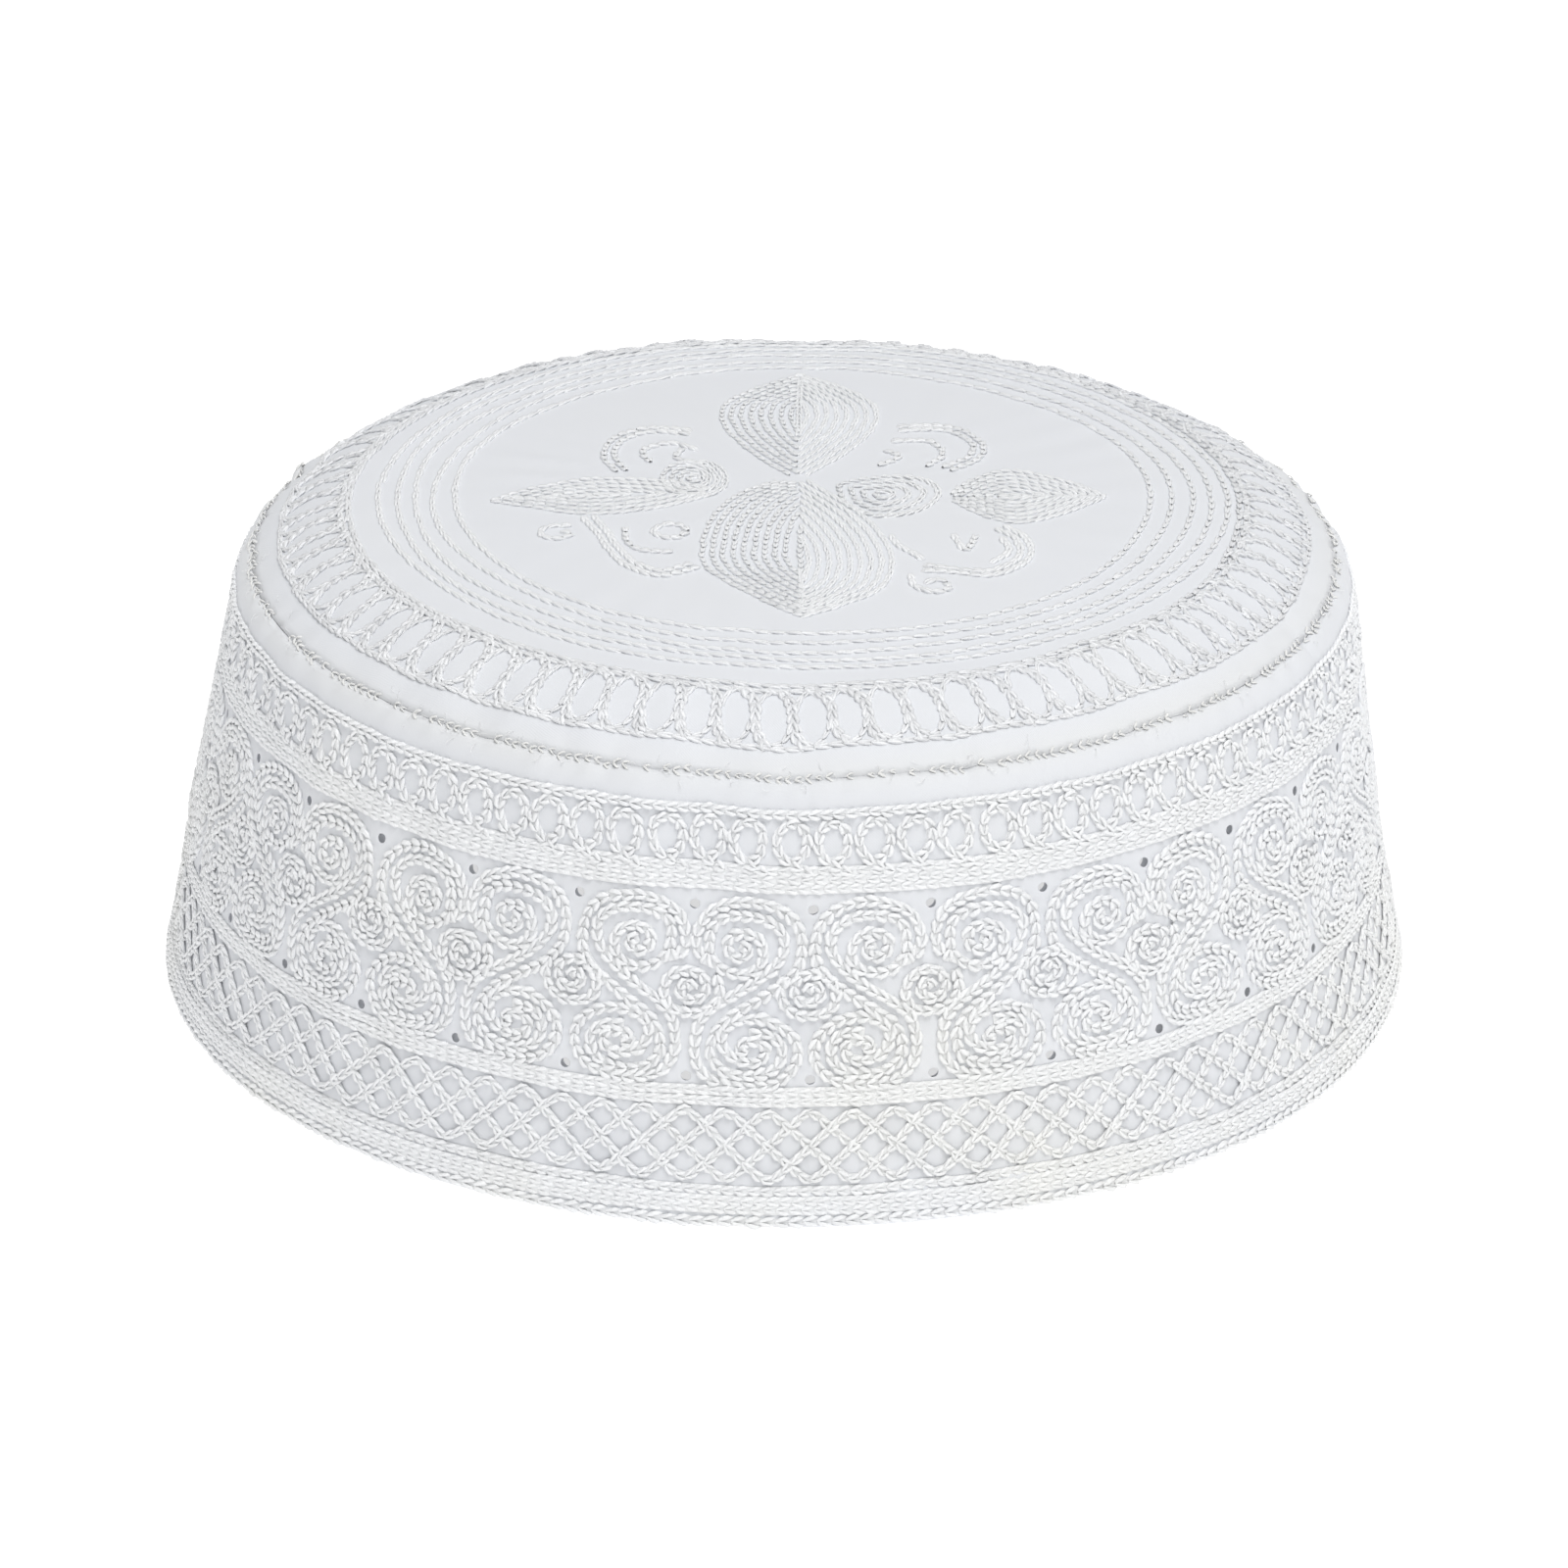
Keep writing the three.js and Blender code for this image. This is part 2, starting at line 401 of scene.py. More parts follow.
def agedGroup():
    group, given, out = newGroup(
        "agedWhite",
        [
            ("Position", "NodeSocketVector", None),
            ("White", "NodeSocketColor", (0.8, 0.8, 0.8, 1)),
            ("Aged", "NodeSocketColor", (0.8, 0.78, 0.7, 1)),
            ("Patches", "NodeSocketFloat", 25.0),
            ("Amount", "NodeSocketFloat", 0.5),
        ],
        [("Color", "NodeSocketColor")],
    )
    links = group.links
    noise = group.nodes.new("ShaderNodeTexNoise")
    noise.inputs["Detail"].default_value = 3
    links.new(given.outputs["Position"], noise.inputs["Vector"])
    links.new(given.outputs["Patches"], noise.inputs["Scale"])
    split = group.nodes.new("ShaderNodeSeparateXYZ")
    links.new(given.outputs["Position"], split.inputs[0])
    height = split.outputs[2]
    # patches, stronger towards the hem, and a dusty line along the seam
    patch = addRange(group, noise.outputs["Fac"], 0.45, 0.75)
    patch = addMath(group, "MULTIPLY", patch, given.outputs["Amount"])
    spread = addMath(group, "MULTIPLY", patch, addRange(group, height, 0.06, 0.0, 0.25, 1.0))
    overSeam = addMath(group, "SUBTRACT", height, form["seamHeight"] * toMetres)
    nearSeam = addRange(group, addMath(group, "ABSOLUTE", overSeam), 0.0025, 0.0, 0.0, 0.7)
    dusty = addMath(group, "MULTIPLY", nearSeam, noise.outputs["Fac"])
    mask = addMath(group, "MAXIMUM", spread, dusty)
    mixed = addMix(group, "MIX", mask, given.outputs["White"], given.outputs["Aged"])
    links.new(mixed, out.inputs["Color"])
    return group


weave = weaveGroup()
ply = plyGroup()
aged = agedGroup()


def addGroup(tree, group, values):
    node = tree.nodes.new("ShaderNodeGroup")
    node.node_tree = group
    setInputs(node, values)
    return node


def addAttribute(tree, name):
    node = tree.nodes.new("ShaderNodeAttribute")
    node.attribute_name = name
    return node


def startMaterial(name, settings):
    material = bpy.data.materials.new(name)
    material.use_nodes = True
    tree = material.node_tree
    shader = tree.nodes["Principled BSDF"]
    setInputs(shader, {
        "Roughness": settings["roughness"],
        "Specular IOR Level": settings["specular"],
        "Sheen Weight": settings["sheen"],
        "Sheen Roughness": 0.5,
    })
    position = tree.nodes.new("ShaderNodeTexCoord")
    tint = addGroup(tree, aged, {
        "White": settings["white"],
        "Aged": settings["aged"],
        "Patches": settings["patches"],
        "Amount": settings["amount"],
    })
    tree.links.new(position.outputs["Object"], tint.inputs["Position"])
    return material, tree, shader, tint


def addBump(tree, shader, height, look):
    node = tree.nodes.new("ShaderNodeBump")
    setInputs(node, {"Strength": look["bump"], "Distance": look["bumpDistance"]})
    tree.links.new(height, node.inputs["Height"])
    tree.links.new(node.outputs[0], shader.inputs["Normal"])


clothLook = {
    "white": (0.755, 0.77, 0.80, 1),
    "aged": (0.765, 0.768, 0.752, 1),
    "patches": 32.0,
    "amount": 0.5,
    "roughness": 0.8,
    "specular": 0.25,
    "sheen": 0.15,
    "threadsPerMillimetre": 2.4,
    "slub": 0.5,
    "bump": 0.25,
    "bumpDistance": 0.0001,
}


def clothMaterial():
    material, tree, shader, tint = startMaterial("stiffCotton", clothLook)
    cloth = addGroup(tree, weave, {
        "Threads": clothLook["threadsPerMillimetre"],
        "Slub": clothLook["slub"],
    })
    tree.links.new(addAttribute(tree, "lie").outputs["Vector"], cloth.inputs["Lie"])
    tree.links.new(tint.outputs["Color"], shader.inputs["Base Color"])
    addBump(tree, shader, cloth.outputs["Height"], clothLook)
    return material


threadLook = {
    "white": (0.925, 0.935, 0.95, 1),
    "aged": (0.93, 0.925, 0.875, 1),
    "patches": 32.0,
    "amount": 0.6,
    "roughness": 0.36,
    "specular": 0.6,
    "sheen": 0.1,
    "turnsPerMillimetre": 1.9,
    "bump": 0.3,
    "bumpDistance": 0.00006,
    "dullest": 0.93,
}


def threadMaterial(name, look):
    material, tree, shader, tint = startMaterial(name, look)
    wound = addGroup(tree, ply, {"Turns": look["turnsPerMillimetre"]})
    tree.links.new(addAttribute(tree, "ply").outputs["Vector"], wound.inputs["Ply"])
    # tone is random per link, and zero on the cores under the legs, which paints shade there
    tone = addRange(tree, addAttribute(tree, "tone").outputs["Fac"], 0.0, 1.0, look["dullest"], 1.0)
    mixed = addMix(tree, "MULTIPLY", 1, tint.outputs["Color"], tone)
    tree.links.new(mixed, shader.inputs["Base Color"])
    addBump(tree, shader, wound.outputs["Height"], look)
    return material


# Thread on the crown's border is a darker copy of the embroidery thread, painted shade on the border's
# rows, and the seam's thread is greyer and yellower
shadedBorderThreadLook = {
    **threadLook,
    "white": (0.9, 0.91, 0.93, 1),
    "aged": (0.9, 0.895, 0.85, 1),
    "dullest": 0.84,
}
seamThreadLook = {
    **threadLook,
    "white": (0.87, 0.872, 0.865, 1),
    "aged": (0.82, 0.82, 0.79, 1),
    "amount": 1.0,
    "roughness": 0.6,
    "specular": 0.3,
}

cottonCloth = clothMaterial()
silkThread = threadMaterial("embroideryThread", threadLook)
# the darker thread for the crown's border is painted shade
shadedBorderThread = threadMaterial("shadedBorderThread", shadedBorderThreadLook)
seamThread = threadMaterial("seamThread", seamThreadLook)
print("materials ready")

# The cloth of the side, the crown and the turned up hem
sideCloth = {
    "columns": 512,
    "firstEyelet": -87.7,
    "eyeletCount": 32,
    "eyeletHeights": (21.3, 45.6),
    "eyeletRadius": 0.68,
    "eyeletRings": ((1.9, 0), (1.25, 0.7), (1.0, 0)),  # shares of its radius and of the lip
    "lipHeight": 0.12,
    "pressedWall": 0.2,
    "rowsBetween": (15, 23, 18),
    "middleRadius": 86,
}


def sideLengths():
    low, high = (h * wallPerHeight for h in sideCloth["eyeletHeights"])
    stops = [form["hemHeight"] * wallPerHeight, low, high, seamLength - form["seamGap"]]
    levels = [stops[0]]
    for start, end, rows in zip(stops, stops[1:], sideCloth["rowsBetween"]):
        levels += list(np.linspace(start, end, rows + 1)[1:])
    low = sideCloth["rowsBetween"][0]
    return np.array(levels), (low, low + sideCloth["rowsBetween"][1])


def buildSideCloth():
    columns = sideCloth["columns"]
    levels, eyeletRows = sideLengths()
    turns = sideCloth["firstEyelet"] + 360 * np.arange(columns) / columns
    turnGrid, lengthGrid = np.meshgrid(turns, levels)
    spots = [np.stack([turnGrid, lengthGrid], -1).reshape(-1, 2)]
    lifts = [np.zeros(spots[0].shape[0])]
    keep = np.ones((len(levels) - 1, columns), bool)
    faces = []
    count = spots[0].shape[0]
    # four by four squares give way to rings round each eyelet
    ringEdge = [(-2, -2), (-1, -2), (0, -2), (1, -2), (2, -2), (2, -1), (2, 0), (2, 1)]
    ringEdge += [(-a, -b) for a, b in ringEdge]
    sides = len(ringEdge)
    step = columns // sideCloth["eyeletCount"]
    radius = sideCloth["eyeletRadius"]
    for row in eyeletRows:
        for k in range(sideCloth["eyeletCount"]):
            column = k * step
            for a in range(-2, 2):
                for b in range(-2, 2):
                    keep[row + b, (column + a) % columns] = False
            outer = [(row + b) * columns + (column + a) % columns for a, b in ringEdge]
            here = np.array([turns[column], levels[row]])
            across = np.interp(levels[row], lineLength, line[:, 0]) * math.pi / 180
            angles = np.arctan2([b for a, b in ringEdge], [a for a, b in ringEdge])
            circle = np.stack([np.cos(angles) / across, np.sin(angles)], -1)
            rings = [outer]
            for size, lift in sideCloth["eyeletRings"]:
                spots.append(here + circle * radius * size)
                lifts.append(np.full(sides, lift * sideCloth["lipHeight"]))
                rings.append(list(range(count, count + sides)))
                count += sides
            for one, two in zip(rings, rings[1:]):
                for i in range(sides):
                    j = (i + 1) % sides
                    faces.append((one[i], one[j], two[j], two[i]))
    faces = np.concatenate([gridFaces(*np.nonzero(keep), columns), np.array(faces)])
    spots = np.concatenate(spots)
    points = capPoint(spots[:, 0], spots[:, 1], np.concatenate(lifts))
    around = np.radians(spots[:, 0]) * sideCloth["middleRadius"]
    lie = np.stack([around, spots[:, 1], 0 * around], -1)
    made = makeMesh("sideCloth", points, faces, {"lie": lie})
    # the cloth is pressed thin round each eyelet
    ringCount = len(sideCloth["eyeletRings"])
    pierced = np.arange(len(levels) * columns, len(points)).reshape(-1, ringCount, sides)
    wall = made.vertex_groups.new(name="wall")
    wall.add(list(range(len(points))), 1.0, "REPLACE")
    wall.add(pierced[:, 1:].ravel().tolist(), sideCloth["pressedWall"], "REPLACE")
    return made


def thicken(made, wall):
    thickness = made.modifiers.new("cloth", "SOLIDIFY")
    thickness.thickness = wall * toMetres
    thickness.offset = -1
    thickness.use_even_offset = True
    return thickness


band = buildSideCloth()
thicken(band, form["bandWall"]).vertex_group = "wall"
place(band, cottonCloth, ["side_band"])

crownCloth = {"columns": 320, "rings": 58, "closing": 0.6}


def buildCrownCloth():
    columns = crownCloth["columns"]
    share = np.linspace(0, 1, crownCloth["rings"])
    levels = seamLength + form["seamGap"] + (lineLength[-1] - seamLength - crownCloth["closing"]) * share
    turns = -180 + 360 * np.arange(columns) / columns
    turnGrid, lengthGrid = np.meshgrid(turns, levels)
    points = capPoint(turnGrid, lengthGrid).reshape(-1, 3)
    middle = capPoint(np.array([0.0]), np.array([lineLength[-1]]))
    row, column = (a.ravel() for a in np.mgrid[0:len(levels) - 1, 0:columns])
    grid = gridFaces(row, column, columns)
    last = (len(levels) - 1) * columns
    centre = len(points)
    c = np.arange(0, columns, 2)
    cap = np.stack([last + c, last + c + 1, last + (c + 2) % columns, np.full(len(c), centre)], -1)
    points = np.concatenate([points, middle])
    return makeMesh("crownCloth", points, np.concatenate([grid, cap]), {"lie": points})


crown = buildCrownCloth()
thicken(crown, form["crownWall"])
place(crown, cottonCloth, ["crown"])

hemCloth = {"columns": 384, "wall": 2.6, "proud": 0.3, "bevel": 0.7, "steps": 5, "lap": 0.05}


def buildHemCloth():
    columns = hemCloth["columns"]
    rim = form["rimRadius"]
    wall = hemCloth["wall"]
    proud = hemCloth["proud"]
    bevel = hemCloth["bevel"]
    top = form["hemHeight"] + hemCloth["lap"]
    topRadius = rim - form["bandTaper"] * top / form["bandHeight"]
    section = []

    def roundCorner(radius, first, last):
        for turn in np.linspace(first, last, hemCloth["steps"]):
            angle = math.radians(turn)
            section.append((radius + bevel * math.cos(angle), bevel + bevel * math.sin(angle)))

    roundCorner(rim + proud - bevel, -90, 0)
    for share in (0.3, 0.6, 0.85):
        section.append((rim + proud - (rim - topRadius) * share, bevel + (top - bevel) * share))
    section += [(topRadius + proud * 0.6, top - 0.15), (topRadius - 0.3, top), (topRadius - wall, top)]
    section += [(rim - wall - (rim - topRadius) * 0.5, top / 2)]
    roundCorner(rim - wall + bevel, 180, 270)
    section = np.array(section)
    turns = np.radians(360 * np.arange(columns) / columns)
    radius = section[None, :, 0]
    points = np.stack([
        radius * np.cos(turns)[:, None],
        radius * np.sin(turns)[:, None],
        np.broadcast_to(section[None, :, 1], (columns, len(section))),
    ], -1)
    points = settle(points).reshape(-1, 3)
    n = len(section)
    c, s = (a.ravel() for a in np.mgrid[0:columns, 0:n])
    after = (c + 1) % columns
    nextOne = (s + 1) % n
    faces = np.stack([c * n + s, after * n + s, after * n + nextOne, c * n + nextOne], -1)
    around = np.repeat(turns * rim, n)
    lie = np.stack([around, points[:, 2], 0 * around], -1)
    return makeMesh("hemCloth", points, faces, {"lie": lie})


hem = buildHemCloth()
place(hem, cottonCloth, ["hem"])


# Chain stitch, one link after another, laid on the cloth
stitch = {
    "pitch": 1.66,
    "width": 1.75,
    "height": 0.31,
    "lift": 0.05,
    "sway": 0.06,
    "loose": 0.14,
    "unevenPitch": 0.04,
    "overrun": 0.3,
    "flat": 0.8,
    "plump": 1.2,
    # the low filled core under the legs: aside and up, as shares of width and height
    "core": [(-0.44, -0.2), (-0.2, 0.32), (0.2, 0.32), (0.44, -0.2)],
    "missing": 0.0,
    # along, aside, up and thickness of one leg of a link, as shares of its pitch, width, height and width
    "leg": [
        (-0.04, 0.05, 0.7, 0.08), (0.3, 0.22, 0.95, 0.2),
        (0.7, 0.35, 0.65, 0.19), (1.06, 0.31, -0.15, 0.07),
    ],
}
# Rows laid side by side fill a band almost flat
filled = {
    "core": [(-0.5, 0.35), (-0.22, 0.6), (0.22, 0.6), (0.5, 0.35)],
    "height": 0.22,
    "flat": 0.65,
}
# Finer rows on the crown lie closer, like a rope
rope = {
    "core": None,
    "lift": -0.04,
    "leg": [
        (-0.1, 0.03, 0.85, 0.14), (0.32, 0.17, 0.95, 0.25),
        (0.76, 0.26, 0.6, 0.24), (1.12, 0.18, -0.1, 0.13),
    ],
}


# Each leg of a link is a tube of four rings with four sides
legRings = 4
legSides = 4


def smoothPath(points, closed=False, step=0.3):
    points = np.asarray(points, float)
    if closed:
        points = np.concatenate([points[-1:], points, points[:2]])
    else:
        points = np.concatenate([2 * points[:1] - points[1:2], points, 2 * points[-1:] - points[-2:-1]])
    out = []
    for i in range(1, len(points) - 2):
        a, b, c, d = points[i - 1:i + 3]
        count = max(2, int(np.hypot(*(c - b)) / step))
        t = np.arange(count)[:, None] / count
        square = (2 * a - 5 * b + 4 * c - d) * t ** 2
        cube = (3 * b - a - 3 * c + d) * t ** 3
        out.append(0.5 * (2 * b + (c - a) * t + square + cube))
    out.append(points[-2:-1])
    return np.concatenate(out)


class Rows:
    def __init__(self, surface, reach=(0.3, 0.4)):
        self.surface = surface
        self.reach = reach
        self.points = []
        self.ply = []
        self.tone = []
        self.core = []
        self.coreFaces = []
        self.coreCount = 0

    def add(self, path, closed=False, **changes):
        look = {**stitch, **changes}
        spots, normals = withNormals(self.surface, np.asarray(path, float), self.reach)
        gap = np.linalg.norm(np.diff(spots, axis=0), axis=1)
        at = np.concatenate([[0], np.cumsum(gap)])
        total = at[-1]
        links = max(2, int(round(total / look["pitch"])))
        pitch = total / links
        scale = look["width"] * (1 + dice.normal(0, look["loose"] / 2, links))
        sway = dice.normal(0, look["sway"], links)
        legs = np.array(look["leg"])
        side = np.array([-1.0, 1.0])
        start = np.arange(links) * pitch + dice.normal(0, look["unevenPitch"] * pitch, links)
        if look["missing"]:
            kept = dice.uniform(0, 1, links) >= look["missing"]
            start = start[kept]
            scale = scale[kept]
            sway = sway[kept]
        stitches = len(start)
        along = start[:, None] + legs[:, 0] * pitch
        if closed:
            along = along % total
        else:
            along = np.clip(along, -look["overrun"], total + look["overrun"])
        spot = readAlong(along, at, spots)
        normal = unit(readAlong(along, at, normals))
        ahead = np.gradient(spots, axis=0)
        if closed:
            ahead[0] = ahead[-1] = spots[1] - spots[-2]
        ahead = unit(readAlong(along, at, ahead))
        aside = unit(np.cross(normal, ahead))
        out = legs[:, 1] * scale[:, None]
        tilt = dice.normal(0, look["loose"] / 2, (stitches, 2))
        offset = side[:, None] * out[:, None, :] * (1 + tilt[..., None]) + sway[:, None, None]
        rise = 1 + dice.normal(0, look["loose"] / 2, (stitches, 2))
        up = look["lift"] + legs[:, 2] * look["height"] * rise[..., None]
        middle = spot[:, None] + aside[:, None] * offset[..., None] + normal[:, None] * up[..., None]
        run = unit(np.gradient(middle, axis=2))
        across = unit(np.cross(run, np.broadcast_to(normal[:, None], run.shape)))
        top = np.cross(across, run)
        angle = np.array([45, 135, 225, 315]) * math.pi / 180
        cosine = np.cos(angle)
        sine = np.sin(angle)
        thick = (legs[:, 3] * scale[:, None])[:, None, :, None, None] * look["plump"]
        ring = across[..., None, :] * cosine[:, None] + top[..., None, :] * look["flat"] * sine[:, None]
        points = middle[..., None, :] + ring * thick
        self.points.append(points.reshape(-1, 3))
        wind = along[:, None, :, None] + side[:, None, None] * 0.2
        twist = [np.broadcast_to(value, points.shape[:-1]) for value in (wind, cosine, sine)]
        self.ply.append(np.stack(twist, -1).reshape(-1, 3))
        tone = dice.uniform(0, 1, (stitches, 2))[..., None, None]
        self.tone.append(np.broadcast_to(tone, points.shape[:-1]).ravel())
        if look["core"]:
            self.addCore(spots, normals, at, links, closed, look)

    def addCore(self, spots, normals, at, links, closed, look):
        along = np.linspace(0, at[-1], links + 1)
        spot = readAlong(along, at, spots)
        normal = readAlong(along, at, normals)
        ahead = np.gradient(spot, axis=0)
        if closed:
            ahead[0] = ahead[-1] = spot[1] - spot[-2]
        aside = unit(np.cross(normal, ahead))
        core = np.array(look["core"])
        out = core[:, 0] * look["width"]
        up = look["lift"] + core[:, 1] * look["height"]
        points = spot[:, None] + aside[:, None] * out[:, None] + normal[:, None] * up[:, None]
        self.core.append(points.reshape(-1, 3))
        row, lane = (a.ravel() for a in np.mgrid[0:links, 0:3])
        first = self.coreCount + row * 4 + lane
        self.coreFaces.append(np.stack([first, first + 4, first + 5, first + 1], -1))
        self.coreCount += (links + 1) * 4

    def build(self, name, material=None):
        points = np.concatenate(self.points)
        ring = []
        for k in range(legRings - 1):
            for i in range(legSides):
                first = k * legSides + i
                after = k * legSides + (i + 1) % legSides
                ring.append((first, after, after + legSides, first + legSides))
        starts = np.arange(0, len(points), legRings * legSides)
        faces = (starts[:, None, None] + np.array(ring)).reshape(-1, 4)
        if self.coreFaces:
            faces = np.concatenate([faces, np.concatenate(self.coreFaces) + len(points)])
        points = np.concatenate([points] + self.core)
        ply = np.concatenate(self.ply + [np.zeros((self.coreCount, 3))])
        # the cores under the legs take tone zero, the darkest thread tone: painted shade under and between
        # the legs
        values = {"ply": ply, "tone": np.concatenate(self.tone + [np.zeros(self.coreCount)])}
        place(makeMesh(name, points, faces, values), material or silkThread)


def roundBand(height, wave, waves, phase=0.0):
    turn = -180 + np.linspace(0, 360, 1441)
    return np.stack([turn, height + wave * np.sin(np.radians(turn) * waves + phase)], -1)


crownMiddle = (form["crownShift"], 0)


def roundCrown(radius, wave, waves, phase, centre=crownMiddle):
    turn = np.linspace(-180, 180, 1081)
    reach = radius + wave * np.sin(np.radians(turn) * waves + phase)
    angle = np.radians(turn)
    return np.stack([centre[0] + reach * np.cos(angle), centre[1] + reach * np.sin(angle)], -1)


# Rings round the flat of the crown
crownRing = {
    "radii": (51, 54, 57, 59.6, 62),
    "centre": (2.5, 2.0),
    "wave": 0.28,
    "stitch": {**rope, "width": 1.0, "pitch": 2.3, "height": 0.26},
}
rings = Rows(onCrown, (0.4, 0.4))
for i, radius in enumerate(crownRing["radii"]):
    ring = roundCrown(radius, crownRing["wave"], 5 + i % 3, i * 0.4, crownRing["centre"])
    rings.add(ring, closed=True, **crownRing["stitch"])
rings.build("crownRings")

# Ovals round the crown's border: arches above and below, a hooked row at each side, and edge rows
crownOval = {
    "count": 84,
    "radius": 70.5,
    "halfWidth": 2.42,
    "halfHeight": 4.4,
    "arches": ((12, 168), (196, 344)),
    "archStitch": {**rope, "width": 0.95, "pitch": 1.6},
    "hook": [
        (-3.6, 4.9), (-1.9, 4.2), (-0.6, 2.9), (-0.05, 1.2),
        (0, -0.6), (0.25, -2.4), (1.0, -3.9), (1.8, -4.9),
    ],
    "hookStitch": {"width": 1.65, "pitch": 1.6, "lift": 0.06, "height": 0.28, "flat": 0.65},
    "turnJitter": 0.003,
    "widthJitter": 0.04,
    "hookJitter": 0.12,
    "edges": (65.2, 66.2, 75.3),
    "edgeWave": 0.12,
    "edgeStitch": {**rope, "width": 1.0, "pitch": 2.0},
}


def roundTheCrown(shape, angle, radius):
    reach = radius - shape[:, 1]
    turn = angle + shape[:, 0] / radius
    return np.stack([crownMiddle[0] + reach * np.cos(turn), reach * np.sin(turn)], -1)


crownOvals = Rows(onCrown, (0.4, 0.4))
for k in range(crownOval["count"]):
    angle = 2 * math.pi * (k + 0.5) / crownOval["count"]
    angle += dice.normal(0, crownOval["turnJitter"])
    halfWidth = crownOval["halfWidth"] * (1 + dice.normal(0, crownOval["widthJitter"]))
    for first, last in crownOval["arches"]:
        turn = np.radians(np.linspace(first, last, 25))
        arch = np.stack([halfWidth * np.cos(turn), crownOval["halfHeight"] * np.sin(turn)], -1)
        path = roundTheCrown(arch, angle, crownOval["radius"])
        crownOvals.add(path, **crownOval["archStitch"])
    hook = np.array(crownOval["hook"])
    hook = smoothPath(hook + dice.normal(0, crownOval["hookJitter"], hook.shape))
    path = roundTheCrown(hook, angle + math.pi / crownOval["count"], crownOval["radius"])
    crownOvals.add(path, **crownOval["hookStitch"])
for i, radius in enumerate(crownOval["edges"]):
    edge = roundCrown(radius, crownOval["edgeWave"], 9 + 5 * i, i)
    crownOvals.add(edge, closed=True, **crownOval["edgeStitch"])
# the border rows take the darker thread, painted shade
crownOvals.build("crownOvals", shadedBorderThread)

# Flower: petals of nested rows. Each side is a list of (share from tip to root, width) in millimetres
petals = [
    {
        "tip": (2.5, -42.9),
        "root": (2.2, 6.0),
        "left": [(0, 0), (0.13, 6.4), (0.34, 13.4), (0.5, 14.1), (0.72, 12.6), (0.9, 8.4), (1, 2.5)],
        "right": [
            (0, 0), (0.06, 4.6), (0.17, 10.3), (0.29, 12.8),
            (0.49, 12.9), (0.74, 9), (0.92, 3.5), (1, 1),
        ],
    },
    {
        "tip": (2.5, 49.9),
        "root": (2.0, 8.0),
        "left": [(0, 0), (0.15, 7), (0.33, 11.5), (0.55, 11), (0.8, 6.5), (1, 1)],
        "right": [(0, 0), (0.15, 6.5), (0.33, 11.5), (0.55, 11), (0.8, 6.5), (1, 1)],
    },
    {
        "tip": (-43.0, -1.3),
        "root": (-10.5, 1.5),
        "left": [(0, 0), (0.2, 4), (0.45, 6.5), (0.75, 5), (1, 1)],
        "right": [(0, 0), (0.2, 3.6), (0.45, 6.6), (0.75, 5), (1, 1)],
    },
    {
        "tip": (46.8, 2.1),
        "root": (24.5, 0.5),
        "left": [(0, 0), (0.25, 5.5), (0.6, 9.8), (0.85, 6), (1, 1)],
        "right": [(0, 0), (0.25, 6), (0.6, 9.8), (0.85, 6), (1, 1)],
    },
]
petalLook = {
    "gap": 1.5,
    "rows": 10,
    "tipWidth": 0.2,
    "spine": (0.05, 0.62),
    "clusterRows": 4,
    "clusterStep": 0.27,
}
clusterStitch = {"width": 0.95, "pitch": 1.7}
petalStitch = {**clusterStitch, "height": 0.28}


def petalSide(sideTable, share):
    table = smoothPath(np.array(sideTable, float))
    table = table[np.argsort(table[:, 0])]
    return np.interp(share, table[:, 0], table[:, 1])


def petalRow(petal, inset):
    tip = np.array(petal["tip"])
    axis = np.array(petal["root"]) - tip
    aside = np.array([-axis[1], axis[0]]) / np.hypot(*axis)
    share = np.linspace(0, 1, 120)
    soft = np.ones(7) / 7
    halves = []
    for side, sign in (("right", -1), ("left", 1)):
        outline = np.pad(petalSide(petal[side], share), 3, "edge")
        width = np.convolve(outline, soft, "valid") - inset
        width[0] = min(width[0], petalLook["tipWidth"] - inset)
        good = width > 0
        if good.sum() < 6:
            return None
        spots = tip + axis * share[good][:, None] + sign * aside * width[good][:, None]
        halves.append(spots)
    return np.concatenate([halves[0][::-1], halves[1]])


flower = Rows(onCrown, (0.4, 0.4))
for petal in petals:
    for k in range(petalLook["rows"]):
        path = petalRow(petal, k * petalLook["gap"])
        if path is not None:
            flower.add(path, **petalStitch, **rope)
    tip = np.array(petal["tip"])
    root = np.array(petal["root"])
    share = np.linspace(*petalLook["spine"], 40)[:, None]
    flower.add(tip + (root - tip) * share, **petalStitch)
# Two round clusters between the petals
clusters = [
    [(8.4, 4.5), (14, 7.4), (20, 7), (22.7, 2), (20, -4.5), (14, -7.2), (9.5, -3.5), (8.4, 1)],
    [(-9, 3), (-12, 0.2), (-16.5, 1.6), (-18, 7), (-16, 12), (-11.5, 12.8), (-9, 8.5)],
]
for outline in clusters:
    outline = np.array(outline, float)
    middle = outline.mean(0)
    for k in range(petalLook["clusterRows"]):
        inner = middle + (outline - middle) * (1 - petalLook["clusterStep"] * k)
        path = smoothPath(inner, closed=True)
        flower.add(path, closed=True, **clusterStitch)
flower.build("flower")

